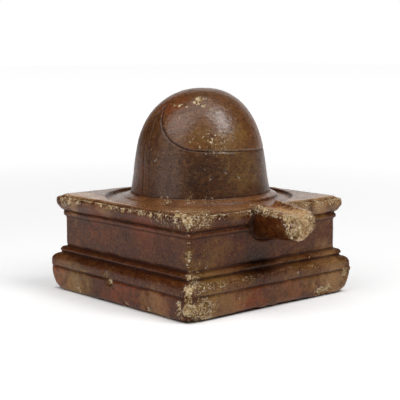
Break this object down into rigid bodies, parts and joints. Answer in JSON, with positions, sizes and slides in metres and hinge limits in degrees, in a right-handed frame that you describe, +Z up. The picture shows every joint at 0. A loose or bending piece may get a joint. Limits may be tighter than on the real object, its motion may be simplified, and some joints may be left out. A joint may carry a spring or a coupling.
{
  "type": "shiva lingam",
  "caption": "Small brown stone shiva lingam: a domed lingam in a shallow round basin on a square moulded seat, with a channelled spout over one side.",
  "frame": {"origin": "middle of the square underside, on the surface that the seat stands on", "axes": "+Z up along the lingam, -Y out along the spout, -X towards the lines cut into the dome"},
  "size_m": [0.1206, 0.1409, 0.1143],
  "materials": {
    "brown_stone": "hand-rubbed brown stone with a dull oily shine, darker on the drum, red-brown on the seat, worn and chipped cream along the edges"
  },
  "bodies": {
    "root": {"shiva_lingam": "brown_stone"}
  },
  "joints": []
}
